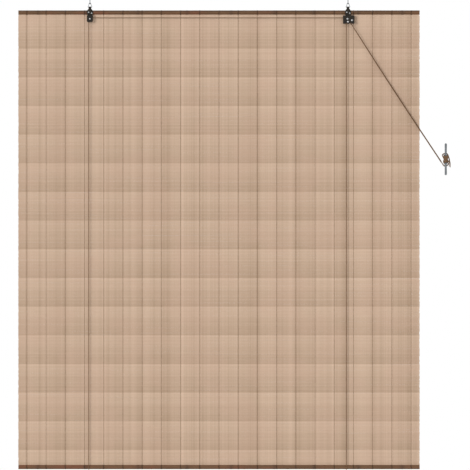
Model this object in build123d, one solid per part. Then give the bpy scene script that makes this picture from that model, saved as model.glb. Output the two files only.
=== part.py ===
from build123d import *
from math import asin, atan2, cos, degrees, hypot, pi, radians, sin, sqrt, tan
import os

os.makedirs("parts", exist_ok=True)

# A bamboo roll-up blind, let down, in millimetres: +X to the right, +Y away from the room, +Z up.
# The origin is midway between the two screw hooks, on the ceiling face that they go into.

# Mat of bamboo splints, woven on warp threads
blind_width = 1400.0
blind_drop = 1600.0
mat_thickness = 2.0
splint_pitch = 5.0
groove_width = 1.2
groove_depth = 0.55
warp_spacing = 67.0
warp_beside_hook = 19.0
warp_edge_least = 25.0
warp_width = 2.4
warp_thickness = 0.5

# Battens: half-round bamboo, one pair at the head and one at the foot
batten_height = 14.5
batten_depth = 6.0
knuckle_rise = 0.7
knuckle_length = 5.0
front_knuckles = (-631.6, -464.0, -282.6, -111.6, 41.9, 193.7, 329.8, 485.2, 638.7)
back_knuckles = (-590.0, -416.0, -236.0, -81.0, 88.0, 241.0, 416.0, 561.0)
binding_width = 3.2
binding_thickness = 0.7
binding_tail = 3.5

# Hanging: screw hooks in the ceiling, rings on the hooks, necks of the fittings on the rings
hook_spacing = 900.0
hook_wire = 3.0
hook_bowl_radius = 5.5
hook_neck_radius = 3.5
hook_drop = 24.0
hook_lip_angle = 195.0
screw_diameter = 3.8
screw_length = 18.0
screw_point = 5.0
screw_show = 2.0
screw_tip_radius = 0.3
ring_wire = 2.2
ring_height = 15.2
ring_base = 14.2
ring_corner_radius = 1.5
ring_crown_radius = 2.8
rest_gap = 0.1
neck_rise = 10.8
# The fittings are heavier in front, so the mat hangs this much behind the rings
balance_offset = 0.3

# Sheet-metal fittings, riveted to the head batten
sheet = 1.2
box_depth = 8.6
side_gap = 0.3
loop_gap = 0.3
loop_wrap = 240.0
neck_width = 9.0
neck_bend_low = 1.6
neck_bend_high = 2.6
neck_bend_radius = 1.8
flare_start = 4.0
flare_half_width = 8.8
flare_rise = 6.6
ear_lift = 1.1
pulley_ear_radius = 11.0
lock_ear_radius = 10.5
waist_width = 18.5
shoulder_drop = 4.3
joggle_height = 3.6
step_bend_radius = 1.5
fold_radius = 1.7
body_overlap = 1.0
pulley_width = 20.6
pulley_drop = 27.0
pulley_corner = 3.5
pulley_chamfer = 3.5
lock_left = 17.4
lock_right = 22.2
lock_drop = 32.4
lock_corner = 2.5
lock_back_lift = 2.0
lift_notch_radius = 3.2
pull_notch_radius = 4.7
pull_notch_drop = 1.2
pull_notch_shift = -1.0
pulley_window_height = 11.2
lock_window_height = 14.0
# Cutting tools reach this far past what they cut
cut_reach = 40.0

rivet_shank = 3.0
rivet_head = 4.8
rivet_head_height = 1.2
rivet_tail_height = 0.96
rivet_left = (-4.3, 0.45)
rivet_right = (6.0, -3.05)
washer_diameter = 7.0
washer_thickness = 0.8
washer_seat = 1.1
hole_gap = 0.1

# Cords, sheaves and the lock
cord_diameter = 2.8
cord_gap = 0.2
turn_ease = 0.2
wrap_ease = 0.1
pinch_radius = 9.0
sheave_pitch_radius = 3.85
sheave_rim = 1.5
sheave_drop = 15.5
groove_gap = 0.1
groove_flare = 1.1
twin_spacing = 3.0
lock_sheave_shift = -1.95
guide_roller_shift = (1.55, -10.05)
guide_roller_radius = 3.6
cam_shift = (15.45, -4.75)
cam_nose_radius = 7.15
cam_growth = 0.85
cam_tail_radius = 6.9
cam_hub_radius = 3.4
cam_tooth = 0.5
cam_teeth = 6
cam_even_teeth = 2
cam_tooth_drop_share = 0.15
cam_first_angle = 176.0
cam_last_angle = 252.0
cam_tail_angle = 372.0
axle_diameter = 2.6
axle_head_height = 1.3
axle_tail_height = 0.7
axle_tail_share = 0.75
axle_tail_taper = 0.8
pulley_axle_head = 5.6
lock_axle_head = 6.3
running_gap = 0.05
cord_pinch = (7.25, -8.75)
cord_exit_depth = 14.75

# Cleat on the wall, with the ends of the cords wound on it
cleat_beside_blind = 90.5
cleat_below_head = 519.3
cleat_length = 111.0
cleat_width = 7.8
cleat_neck_width = 6.8
cleat_height = 29.0
cleat_base_length = 40.0
cleat_base_thickness = 4.0
cleat_stem_length = 25.0
cleat_bar_thickness = 6.0
cleat_tip_thickness = 3.6
cleat_tip_rise = 3.0
cleat_horn_hollow = 0.6
wall_gap = 5.7
cleat_screw_spacing = 15.0
cleat_screw_shank = 4.4
cleat_screw_thread = 3.8
cleat_screw_head = 7.2
cleat_screw_reach = 22.0
cleat_screw_depth = 0.6
cleat_screw_rim = 0.4
winding_corners = ((0, 22.5), (-12.9, 14.5), (-17, -6.5), (-6, -25.6), (4, -24.5), (15, -8.6), (8.6, 16.5))
winding_front = 5.6
winding_back = 2.2
winding_waist = 11.5
winding_front_slope = 25.0
winding_back_slope = 20.0
winding_edge = 2.5
tail_width = 7.0
tail_length = 21.0
tail_depth = 6.0
tail_shift = (15.6, -18.3)
tail_edge = 2.5
pull_end = (-16.3, -8.2)
pull_sink = 7.0
pull_spread = (0.6, 0.36)

staple_wire = 1.2
staple_leg = 4.0
staple_below_top = 8.0
staple_shift = -10.0
staple_bend_radius = 1.0
knot_diameter = 6.4
knot_height = 6.8

# Levels and planes that follow from the sizes above
hook_x = hook_spacing / 2
cord_radius = cord_diameter / 2
ring_top_z = -hook_drop + hook_wire / 2 + rest_gap + ring_wire / 2
pivot_z = ring_top_z - ring_height
head_top = pivot_z - neck_rise
head_mid = head_top - batten_height / 2
head_bottom = head_top - batten_height
foot_bottom = head_top - blind_drop
foot_mid = foot_bottom + batten_height / 2
foot_top = foot_bottom + batten_height
mat_y = balance_offset
mat_front = mat_y - mat_thickness / 2
mat_back = mat_y + mat_thickness / 2
batten_front = mat_front - batten_depth
batten_back = mat_back + batten_depth
back_plate_front = batten_front - sheet
ear_front = back_plate_front - sheet
box_front = back_plate_front - box_depth
cord_y = back_plate_front - box_depth / 2
part_width = box_depth - 2 * side_gap
shoulder_z = head_bottom - shoulder_drop
ear_z = head_mid + ear_lift
sheave_z = head_bottom - sheave_drop
lock_sheave_x = hook_x + lock_sheave_shift
wall_y = batten_back + wall_gap
cleat_x = blind_width / 2 + cleat_beside_blind
cleat_z = head_top - cleat_below_head
knot_bottom = head_top - staple_below_top + staple_wire / 2 + rest_gap


def write(shape, name):
    """Names the shape and writes it as one file."""
    shape.label = name
    export_step(shape, f"parts/{name}.step")


def side_plane(x):
    """A plane that sees the object from its right side, with Y and Z as its own axes."""
    return Plane(origin=(x, 0, 0), x_dir=(0, 1, 0), z_dir=(1, 0, 0))


def face_plane(y):
    """A plane that faces the room, with X and Z as its own axes."""
    return Plane(origin=(0, y, 0), x_dir=(1, 0, 0), z_dir=(0, -1, 0))


def slab(outline, back_y, thickness):
    """A front-view outline, given in X and Z, as a plate that comes forward from back_y."""
    return extrude(face_plane(back_y) * outline, thickness)


def along_y(profile, x, z):
    """Turns a profile of radius and Y about the line through x and z."""
    return Pos(x, 0, z) * revolve(profile, Axis.Y)


def dome(base_radius, base_y, crown_y):
    """The arc of a domed head, from its edge to its crown on the axis."""
    rise = crown_y - base_y
    ball = (base_radius**2 + rise**2) / (2 * abs(rise))
    half_turn = atan2(base_radius, ball - abs(rise)) / 2
    middle_y = crown_y - (ball - ball * cos(half_turn)) * (1 if rise > 0 else -1)
    return ThreePointArc((base_radius, base_y), (ball * sin(half_turn), middle_y), (0, crown_y))


def rod_y(radius, front_y, back_y, x, z):
    """A plain round rod from front_y back to back_y."""
    return slab(Pos(x, z) * Circle(radius), back_y, back_y - front_y)


def bent_sheet(path, across, width, thickness=sheet):
    """Sheet metal folded along a flat path, with its width along the given direction."""
    start = Plane(origin=path @ 0, x_dir=across, z_dir=path % 0)
    return sweep(start * Rectangle(width, thickness), path)


def round_bar(path, diameter):
    """Wire or cord of round section along a path."""
    start = Plane(origin=path @ 0, z_dir=path % 0)
    return sweep(start * Circle(diameter / 2), path)


# Mat


def warp_lines():
    """Where the warp threads run. The fittings hang midway between two lines, or near it."""
    outer = hook_x + warp_beside_hook
    inner = outer - warp_spacing
    steps = round(2 * inner / warp_spacing)
    between = [-inner + i * 2 * inner / steps for i in range(steps + 1)]
    outside = int((blind_width / 2 - warp_edge_least - outer) / warp_spacing) + 1
    right = [outer + i * warp_spacing for i in range(outside)]
    return [-x for x in reversed(right)] + between + right


def mat_outline():
    """Side view of the mat: flat splint faces with a groove between each two, front and back."""
    count = round(blind_drop / splint_pitch)
    pitch = blind_drop / count
    half = groove_width / 2
    front, back = [], []
    for i in range(1, count):
        z = head_top - i * pitch
        for dz, depth in ((half, 0), (0, groove_depth), (-half, 0)):
            front.append((mat_front + depth, z + dz))
            back.append((mat_back - depth, z + dz))
    top = [(mat_back, head_top), (mat_front, head_top)]
    foot = [(mat_front, foot_bottom), (mat_back, foot_bottom)]
    return Polyline(*top, *front, *foot, *reversed(back), close=True)


def rivet_holes():
    """Rods that clear every rivet through the battens and the mat."""
    radius = rivet_shank / 2 + hole_gap
    return [
        rod_y(radius, ear_front - sheet, batten_back + sheet, x + dx, head_mid + dz)
        for x in (-hook_x, hook_x)
        for dx, dz in (rivet_left, rivet_right)
    ]


def make_mat():
    wall = extrude(side_plane(0) * make_face(mat_outline()), blind_width / 2, both=True)
    return wall - rivet_holes()


def make_warp_threads():
    """A thread down each face of the mat, between the battens' bindings, at each warp line."""
    margin = binding_thickness + binding_tail
    drop = head_bottom - foot_top - 2 * margin
    middle = (head_bottom + foot_top) / 2
    strip = Box(warp_width, warp_thickness, drop)
    faces = (mat_front - warp_thickness / 2, mat_back + warp_thickness / 2)
    return Compound(children=[Pos(x, y, middle) * strip for x in warp_lines() for y in faces])


# Battens


def half_round(flat_y, side, middle, extra=0.0):
    """Side view of a half-round bamboo strip: flat on the mat and rounded away from it."""
    half = batten_height / 2 + extra
    crest = flat_y + side * (batten_depth + extra)
    arc = ThreePointArc((flat_y, middle + half), (crest, middle), (flat_y, middle - half))
    return make_face(arc + Line((flat_y, middle - half), (flat_y, middle + half)))


def make_batten(flat_y, side, middle, knuckles):
    strip = extrude(side_plane(0) * half_round(flat_y, side, middle), blind_width / 2, both=True)
    slope = degrees(atan2(knuckle_rise, knuckle_length / 2))
    ridge = half_round(flat_y, side, middle, knuckle_rise)
    for x in [x for x in knuckles if abs(x) + knuckle_length < blind_width / 2]:
        strip += extrude(side_plane(x) * ridge, knuckle_length / 2, both=True, taper=slope)
    return strip


def make_bindings(middle, toward):
    """A turn of thread round both battens at each warp line, tied off on the mat beyond them."""
    half = batten_height / 2
    reach = half + binding_thickness
    front = (batten_front - binding_thickness, middle)
    back = (batten_back + binding_thickness, middle)
    outer = make_face(
        ThreePointArc((mat_front, middle + reach), front, (mat_front, middle - reach))
        + Line((mat_front, middle - reach), (mat_back, middle - reach))
        + ThreePointArc((mat_back, middle - reach), back, (mat_back, middle + reach))
        + Line((mat_back, middle + reach), (mat_front, middle + reach))
    )
    inner = half_round(mat_front, -1, middle) + half_round(mat_back, 1, middle)
    inner += Pos(mat_y, middle) * Rectangle(mat_thickness, batten_height)
    crossing = Pos(mat_y, middle + toward * half) * Rectangle(mat_thickness, batten_height)
    turn = outer - inner - crossing
    tie_length = binding_thickness + binding_tail
    for y in (mat_front - warp_thickness / 2, mat_back + warp_thickness / 2):
        turn += Pos(y, middle + toward * (half + tie_length / 2)) * Rectangle(warp_thickness, tie_length)
    return Compound(
        children=[
            piece
            for x in warp_lines()
            for piece in extrude(side_plane(x) * turn, binding_width / 2, both=True).solids()
        ]
    )


# Hooks and rings


def make_screw_hook(x):
    """A wire hook with its shank in line with the bowl, and a screw that goes into the ceiling."""
    bowl_z = -hook_drop + hook_bowl_radius
    reach = hook_bowl_radius + hook_neck_radius
    neck_z = bowl_z + sqrt(reach**2 - hook_neck_radius**2)
    meet = degrees(atan2(neck_z - bowl_z, hook_neck_radius))
    view = side_plane(x)
    path = view * Line((0, -screw_show), (0, neck_z))
    path += view * CenterArc((hook_neck_radius, neck_z), hook_neck_radius, 180, meet)
    path += view * CenterArc((0, bowl_z), hook_bowl_radius, meet, -(meet + hook_lip_angle))
    wire = round_bar(path, hook_wire)
    tip = path @ 1
    wire += Pos(*tip) * Sphere(hook_wire / 2)
    radius = screw_diameter / 2
    screw = Pos(x, 0, -screw_show) * extrude(Circle(radius), screw_length + screw_show)
    point = Pos(x, 0, screw_length + screw_point / 2) * Cone(radius, screw_tip_radius, screw_point)
    return wire + screw + point


def make_ring(x):
    """A triangular wire ring, with its base through the neck of the fitting below it."""
    half = ring_base / 2
    crown_centre = ring_height - ring_crown_radius
    # Each side leaves the base's corner as a tangent to the crown's bend
    slope = atan2(crown_centre, half) + asin(ring_crown_radius / hypot(crown_centre, half))
    apex = pivot_z + half * tan(slope)
    corners = [(x + half, 0, pivot_z), (x, 0, apex), (x - half, 0, pivot_z)]
    radii = [ring_corner_radius, ring_crown_radius, ring_corner_radius]
    return round_bar(FilletPolyline(*corners, radius=radii, close=True), ring_wire)


# Fittings


def neck_path(bottom):
    """Side view of a back plate: up the batten, back over its top and round the ring."""
    plate_y = batten_front - sheet / 2
    loop_radius = ring_wire / 2 + loop_gap + sheet / 2
    bend_low = head_top + neck_bend_low
    bend_high = pivot_z - neck_bend_high
    corners = [(plate_y, bottom), (plate_y, bend_low), (-loop_radius, bend_high), (-loop_radius, pivot_z)]
    view = side_plane(0)
    path = view * FilletPolyline(*corners, radius=neck_bend_radius)
    path += view * CenterArc((0, pivot_z), loop_radius, 180, -loop_wrap)
    return path


def ear_outline(radius):
    """Front view of the neck and the ear, about the hook's own line."""
    flare_top = pivot_z - flare_start
    flare_foot = ear_z + flare_rise
    half_neck = neck_width / 2
    neck_top = pivot_z + 2 * ring_wire
    neck = Pos(0, (neck_top + flare_foot) / 2) * Rectangle(neck_width, neck_top - flare_foot)
    flare = Polyline(
        (-half_neck, flare_top), (half_neck, flare_top),
        (flare_half_width, flare_foot), (-flare_half_width, flare_foot), close=True
    )
    return neck + make_face(flare) + Pos(0, ear_z) * Circle(radius)


def body_outline(left, right, top, bottom, corner):
    """Front view of a fitting's body below the batten, with rounded corners."""
    box = Rectangle(right - left, top - bottom)
    return Pos((left + right) / 2, (top + bottom) / 2) * fillet(box.vertices(), corner)


def waist_outline(bottom):
    """Front view of the strip that joins the ear to the body."""
    return Pos(0, (ear_z + bottom) / 2) * Rectangle(waist_width, ear_z - bottom)


def hole_rods(places, diameter):
    return [rod_y(diameter / 2, box_front - 2 * sheet, batten_back, x, z) for x, z in places]


def make_back_plate(x, radius, body, bottom, pins):
    """The flat plate against the batten: neck, ear and body in one, with its pin and rivet holes."""
    width = 2 * (lock_left + lock_right)
    strip = bent_sheet(neck_path(bottom), (1, 0, 0), width)
    outline = ear_outline(radius) + waist_outline(shoulder_z) + body
    plate = strip & slab(outline, batten_back, cut_reach)
    rivets = [(dx, head_mid + dz) for dx, dz in (rivet_left, rivet_right)]
    plate = plate - hole_rods(rivets, rivet_shank + 2 * hole_gap)
    plate = plate - hole_rods(pins, axle_diameter + 2 * running_gap)
    return Pos(x, 0, 0) * plate


def joggle_path(top, bottom):
    """Side view of a front plate: flat on the ear, then stepped forward over the sheaves."""
    ear_y = ear_front + sheet / 2
    front_y = box_front - sheet / 2
    step_top = shoulder_z + joggle_height
    corners = [(ear_y, top), (ear_y, step_top), (front_y, shoulder_z), (front_y, bottom)]
    return side_plane(0) * FilletPolyline(*corners, radius=step_bend_radius)


def channel(left, right, top, bottom):
    """The folded body of a front plate: a front wall with a side wall folded back at each edge."""
    half = sheet / 2
    low, high = left + half, right - half
    front_y, back_y = box_front - half, back_plate_front
    path = FilletPolyline(
        (low, back_y, 0), (low, front_y, 0), (high, front_y, 0), (high, back_y, 0), radius=fold_radius
    )
    middle = (top + bottom) / 2
    return Pos(0, 0, middle) * bent_sheet(path, (0, 0, 1), top - bottom)


def make_front_plate(x, radius, left, right, bottom, trim, pins):
    """The stepped front plate: ear, shelf and folded body, with its pin and rivet holes."""
    ear = Pos(0, ear_z) * Circle(radius) + waist_outline(shoulder_z - sheet)
    path = joggle_path(ear_z + radius + sheet, shoulder_z - joggle_height)
    plate = bent_sheet(path, (1, 0, 0), 2 * radius) & slab(ear, mat_front, cut_reach)
    plate = plate + channel(left, right, shoulder_z + sheet / 2, bottom)
    plate = plate - trim
    rivets = [(dx, head_mid + dz) for dx, dz in (rivet_left, rivet_right)]
    plate = plate - hole_rods(rivets, rivet_shank + 2 * hole_gap)
    plate = plate - hole_rods(pins, axle_diameter + 2 * running_gap)
    return Pos(x, 0, 0) * plate


def make_rivets(x):
    """Two rivets through the fitting, the battens and the mat, headed over washers at the back."""
    shank, head = rivet_shank / 2, rivet_head / 2
    front, back = ear_front, batten_back - washer_seat + washer_thickness
    crown, tail = front - rivet_head_height, back + rivet_tail_height
    profile = make_face(
        dome(head, front, crown)
        + Polyline((head, front), (shank, front), (shank, back), (head, back))
        + dome(head, back, tail)
        + Line((0, tail), (0, crown))
    )
    places = (rivet_left, rivet_right)
    return Compound(children=[along_y(profile, x + dx, head_mid + dz) for dx, dz in places])


def make_washers():
    """A washer under each rivet's tail, bedded in the back batten."""
    seat = batten_back - washer_seat
    outer, inner = washer_diameter / 2, rivet_shank / 2 + hole_gap
    washer = Circle(outer) - Circle(inner)
    places = [
        (x + dx, head_mid + dz) for x in (-hook_x, hook_x) for dx, dz in (rivet_left, rivet_right)
    ]
    return Compound(
        children=[slab(Pos(px, pz) * washer, seat + washer_thickness, washer_thickness) for px, pz in places]
    )


def washer_seats():
    """Round recesses for the washers in the back batten."""
    seat = batten_back - washer_seat
    radius = washer_diameter / 2 + hole_gap
    return [
        rod_y(radius, seat, batten_back + sheet, x + dx, head_mid + dz)
        for x in (-hook_x, hook_x)
        for dx, dz in (rivet_left, rivet_right)
    ]


# Sheaves, rollers, cam and their pins


def make_sheave(x, centres, flare):
    """A grooved wheel for as many cords as there are groove centres."""
    rim = sheave_pitch_radius + sheave_rim
    bore = axle_diameter / 2 + running_gap
    wheel = slab(Circle(rim) - Circle(bore), part_width / 2, part_width)
    half = cord_radius + groove_gap
    for centre in centres:
        ring = Pos(sheave_pitch_radius, centre) * Circle(half)
        flank = Polyline(
            (sheave_pitch_radius, centre - half), (rim, centre - half - flare),
            (rim, centre + half + flare), (sheave_pitch_radius, centre + half), close=True
        )
        wheel = wheel - revolve(ring + make_face(flank), Axis.Y)
    return Pos(x, cord_y, sheave_z) * wheel


def make_guide_roller(x, z):
    bore = axle_diameter / 2 + running_gap
    blank = slab(Circle(guide_roller_radius) - Circle(bore), part_width / 2, part_width)
    return Pos(x, cord_y, z) * blank


def cam_points():
    """The toothed flank of the cam, about its pivot: each tooth rises slowly and drops at once."""
    points = []
    step = (cam_last_angle - cam_first_angle) / cam_teeth
    for i in range(cam_teeth):
        start, end = cam_first_angle + i * step, cam_first_angle + (i + 1) * step
        grown = max(0, i - cam_even_teeth) / (cam_teeth - 1 - cam_even_teeth)
        reach = cam_nose_radius + cam_growth * grown
        for angle, radius in ((start, reach), (end - cam_tooth_drop_share * step, reach - cam_tooth)):
            points.append((radius * cos(radians(angle)), radius * sin(radians(angle))))
    return points


def make_cam(x, z):
    """The locking cam: a toothed flank toward the cords and a plain lobe that balances it."""
    flank = cam_points()
    end = radians(cam_tail_angle)
    last = radians(cam_last_angle)
    middle = (last + end) / 2
    lobe = ThreePointArc(
        (cam_tail_radius * cos(last), cam_tail_radius * sin(last)),
        (cam_tail_radius * cos(middle), cam_tail_radius * sin(middle)),
        (cam_tail_radius * cos(end), cam_tail_radius * sin(end)),
    )
    back = Polyline(lobe @ 1, (0, cam_hub_radius), flank[0])
    outline = make_face(Polyline(*flank, lobe @ 0) + lobe + back) + Circle(cam_hub_radius)
    outline = outline - Circle(axle_diameter / 2 + running_gap)
    return Pos(x, cord_y, z) * slab(outline, part_width / 2, part_width)


def make_axle(x, z, head_diameter):
    """A pin across the fitting: a domed head in front and a riveted tail behind."""
    shank, head = axle_diameter / 2, head_diameter / 2
    tail = head * axle_tail_share
    rim = tail * axle_tail_taper
    front, back = box_front - sheet, batten_front
    crown, end = front - axle_head_height, back + axle_tail_height
    profile = make_face(
        dome(head, front, crown)
        + Polyline((head, front), (shank, front), (shank, back), (tail, back), (rim, end))
        + Polyline((rim, end), (0, end), (0, crown))
    )
    return along_y(profile, x, z)


# Cords


def cord_tube(points, radii, name):
    """A cord of plain round section on straight runs and arcs, with its sizes printed."""
    path = FilletPolyline(*points, radius=radii) if radii else Line(*points)
    tube = round_bar(path, cord_diameter)
    expected = pi * cord_radius**2 * path.length
    print(name, "length", round(path.length), "radii", [round(r, 1) for r in radii],
          "volume share", round(tube.volume / expected, 4))
    return tube


def lift_run(x, groove_y):
    """Points of a lift cord: down the back, under the foot battens and up the front to its sheave."""
    out = batten_depth + mat_thickness / 2 + cord_gap + cord_radius
    under = foot_mid - batten_height / 2 - cord_gap - cord_radius
    top = sheave_z + sheave_pitch_radius
    turn = out - turn_ease
    points = [
        (x + staple_shift, mat_y + out, knot_bottom),
        (x, mat_y + out, under),
        (x, mat_y - out, under),
        (x, groove_y, top),
    ]
    return points, [turn, turn]


def lock_run(groove_y):
    """Points of a cord from the top of the lock's sheave, past the cam and out at the bottom."""
    pinch = (lock_sheave_x + cord_pinch[0], sheave_z + cord_pinch[1])
    reach = hypot(*cord_pinch)
    lean = atan2(cord_pinch[0], -cord_pinch[1]) - asin(sheave_pitch_radius / reach)
    corner_x = lock_sheave_x + sheave_pitch_radius * tan((pi / 2 - lean) / 2)
    top = sheave_z + sheave_pitch_radius
    end = lock_exit()
    return [(corner_x, groove_y, top), (pinch[0], groove_y, pinch[1]), (end[0], groove_y, end[1])]


def lock_exit():
    """Where both cords leave the lock, on the straight line from the cam to the cleat."""
    pinch = (lock_sheave_x + cord_pinch[0], sheave_z + cord_pinch[1])
    target = (cleat_x + pull_end[0], cleat_z + pull_end[1])
    share = (cord_exit_depth + cord_pinch[1]) / (pinch[1] - target[1])
    return tuple(a + (b - a) * share for a, b in zip(pinch, target))


groove_front = cord_y - twin_spacing / 2
groove_back = cord_y + twin_spacing / 2
tight = sheave_pitch_radius - wrap_ease


def make_lift_cord_left():
    x = -hook_x - sheave_pitch_radius
    points, radii = lift_run(x, cord_y)
    points = points + lock_run(groove_front)
    return cord_tube(points, radii + [tight, tight, pinch_radius], "lift_cord_left")


def make_lift_cord_right():
    x = lock_sheave_x - sheave_pitch_radius
    points, radii = lift_run(x, groove_back)
    points = points + lock_run(groove_back)
    return cord_tube(points, radii + [tight, tight, pinch_radius], "lift_cord_right")


def make_pull_cord(groove_y, end_y, side, name):
    """One of the two pull cords, tight from the lock's mouth to the winding on the cleat."""
    start = lock_exit()
    end = (cleat_x + pull_end[0], cleat_z + pull_end[1])
    run = (end[0] - start[0], end[1] - start[1])
    length = hypot(*run)
    gap, sink = side_gap / length, pull_sink / length
    first = (start[0] + run[0] * gap, groove_y, start[1] + run[1] * gap)
    end_x = end[0] + run[0] * sink + side * pull_spread[0]
    last = (end_x, end_y, end[1] + run[1] * sink + side * pull_spread[1])
    return cord_tube([first, last], [], name) - make_winding()


# Staples and knots that hold the cords' upper ends, behind the head


def staple_places():
    runs = (-hook_x - sheave_pitch_radius, lock_sheave_x - sheave_pitch_radius)
    return [x + staple_shift for x in runs]


def make_staples():
    """A wire staple over each lift cord, driven into the back batten."""
    half = cord_radius + staple_wire / 2 + cord_gap
    crown = batten_back + cord_gap + cord_diameter + cord_gap + staple_wire / 2
    z = head_top - staple_below_top
    foot = batten_back - staple_leg
    corners = [(-half, foot, z), (-half, crown, z), (half, crown, z), (half, foot, z)]
    path = FilletPolyline(*corners, radius=staple_bend_radius)
    wire = round_bar(path, staple_wire)
    return Compound(children=[Pos(x, 0, 0) * wire for x in staple_places()])


def make_knots():
    """The knot above each staple that keeps the cord's end."""
    radius = knot_diameter / 2
    y = batten_back + cord_gap + radius
    blank = Cylinder(radius, knot_height)
    knot = fillet(blank.edges().filter_by(GeomType.CIRCLE), radius / 2)
    middle = knot_bottom + knot_height / 2
    return Compound(children=[Pos(x, y, middle) * knot for x in staple_places()])


# Cleat


def make_cleat():
    """A cast cleat: foot on the wall, stem, and a bar with two horns that rise at their tips."""
    front = wall_y - cleat_height
    under = front + cleat_bar_thickness
    half = cleat_length / 2
    tip_front = front - cleat_tip_rise
    tip_back = tip_front + cleat_tip_thickness
    stem, foot = cleat_stem_length / 2, cleat_base_length / 2
    foot_face = wall_y - cleat_base_thickness
    mid = (stem + half) / 2
    hollow = under - cleat_horn_hollow
    side = make_face(
        ThreePointArc((tip_front, half), (front, 0), (tip_front, -half))
        + Line((tip_front, -half), (tip_back, -half))
        + ThreePointArc((tip_back, -half), (hollow, -mid), (under, -stem))
        + Polyline((under, -stem), (foot_face, -stem), (foot_face, -foot), (wall_y, -foot))
        + Polyline((wall_y, -foot), (wall_y, foot), (foot_face, foot), (foot_face, stem), (under, stem))
        + ThreePointArc((under, stem), (hollow, mid), (tip_back, half))
        + Line((tip_back, half), (tip_front, half))
    )
    cast = extrude(side_plane(0) * side, cleat_width / 2, both=True)
    wide, narrow = cleat_width / 2, cleat_neck_width / 2
    outline = make_face(
        ThreePointArc((-wide, half - wide), (0, half), (wide, half - wide))
        + ThreePointArc((wide, half - wide), (narrow, 0), (wide, wide - half))
        + ThreePointArc((wide, wide - half), (0, -half), (-wide, wide - half))
        + ThreePointArc((-wide, wide - half), (-narrow, 0), (-wide, half - wide))
    )
    cast = cast & slab(outline, wall_y, cleat_height + cleat_tip_rise)
    placed = Pos(cleat_x, 0, cleat_z) * cast
    return placed - make_cleat_screws(hole_gap)


def make_cleat_screws(extra=0.0):
    """Two countersunk screws through the stem into the wall, or the holes that take them."""
    face = wall_y - cleat_height
    shank, head = cleat_screw_shank / 2 + extra, cleat_screw_head / 2 + extra
    thread = cleat_screw_thread / 2
    top = face + cleat_screw_depth
    rim = top + cleat_screw_rim
    end = wall_y + cleat_screw_reach
    if extra:
        top = face - cleat_tip_rise
    profile = make_face(
        Polyline(
            (0, top), (head, top), (head, rim), (shank, rim + head - shank), (shank, wall_y),
            (thread, wall_y), (thread, end - cleat_screw_thread), (screw_tip_radius, end), (0, end),
            close=True
        )
    )
    places = (-cleat_screw_spacing / 2, cleat_screw_spacing / 2)
    return Compound(children=[along_y(profile, cleat_x, cleat_z + dz) for dz in places])


def make_winding():
    """The outer shape of the cords' turns: widest behind the bar, where they loop round its neck."""
    front = wall_y - cleat_height - winding_front
    back = wall_y - cleat_base_thickness - winding_back
    waist = front + winding_waist
    outline = face_plane(waist) * make_face(Polyline(*winding_corners, close=True))
    block = extrude(outline, waist - front, taper=winding_front_slope)
    block += extrude(outline, waist - back, taper=winding_back_slope)
    block = Pos(cleat_x, 0, cleat_z) * fillet(block.edges(), winding_edge)
    return block - make_cleat() - make_cleat_screws()


def make_tail():
    """The outer shape of the doubled ends of the cords, hanging beside the winding."""
    block = Box(tail_width, tail_depth, tail_length)
    block = fillet(block.edges(), tail_edge)
    block = Pos(cleat_x + tail_shift[0], wall_y - cleat_height, cleat_z + tail_shift[1]) * block
    return block - make_winding()


# Every piece, written under its own name

pulley_left, pulley_right = -pulley_width / 2, pulley_width / 2
pulley_bottom = head_bottom - pulley_drop
lock_bottom = head_bottom - lock_drop
pulley_pins = [(0, sheave_z)]
guide_x = lock_sheave_shift + guide_roller_shift[0]
guide_z = sheave_z + guide_roller_shift[1]
cam_x = lock_sheave_shift + cam_shift[0]
cam_z = sheave_z + cam_shift[1]
lock_pins = [(lock_sheave_shift, sheave_z), (guide_x, guide_z), (cam_x, cam_z)]
cord_top = sheave_z + sheave_pitch_radius

# Windows in the front plates where a cord comes in or goes out, and the shaped lower edges
side_window = box_depth - sheet
window_y = back_plate_front - side_window / 2
pulley_window = Pos(pulley_right, window_y, cord_top) * Box(4 * sheet, side_window, pulley_window_height)
chamfer_side = pulley_chamfer * sqrt(2)
chamfer = Rotation(0, 0, 45) * Rectangle(chamfer_side, chamfer_side)
pulley_chamfers = [
    slab(Pos(x, pulley_bottom) * chamfer, mat_front, cut_reach) for x in (pulley_left, pulley_right)
]
lock_window = Pos(-lock_left, window_y, cord_top) * Box(4 * sheet, side_window, lock_window_height)
lift_notch_x = lock_sheave_shift - sheave_pitch_radius
pull_notch_x = lock_exit()[0] - hook_x + pull_notch_shift
lock_notches = [
    slab(Pos(lift_notch_x, lock_bottom) * Circle(lift_notch_radius), mat_front, cut_reach),
    slab(
        Pos(pull_notch_x, lock_bottom - pull_notch_drop) * Circle(pull_notch_radius), mat_front, cut_reach
    ),
]

head_front = make_batten(mat_front, -1, head_mid, front_knuckles) - rivet_holes()
staples = make_staples()
head_back = make_batten(mat_back, 1, head_mid, back_knuckles) - rivet_holes() - washer_seats()
head_back = head_back - staples.solids()

write(make_mat(), "mat")
write(make_warp_threads(), "warp_threads")
write(head_front, "head_batten_front")
write(head_back, "head_batten_back")
write(make_batten(mat_front, -1, foot_mid, front_knuckles), "foot_batten_front")
write(make_batten(mat_back, 1, foot_mid, back_knuckles), "foot_batten_back")
write(make_bindings(head_mid, -1), "head_bindings")
write(make_bindings(foot_mid, 1), "foot_bindings")

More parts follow.
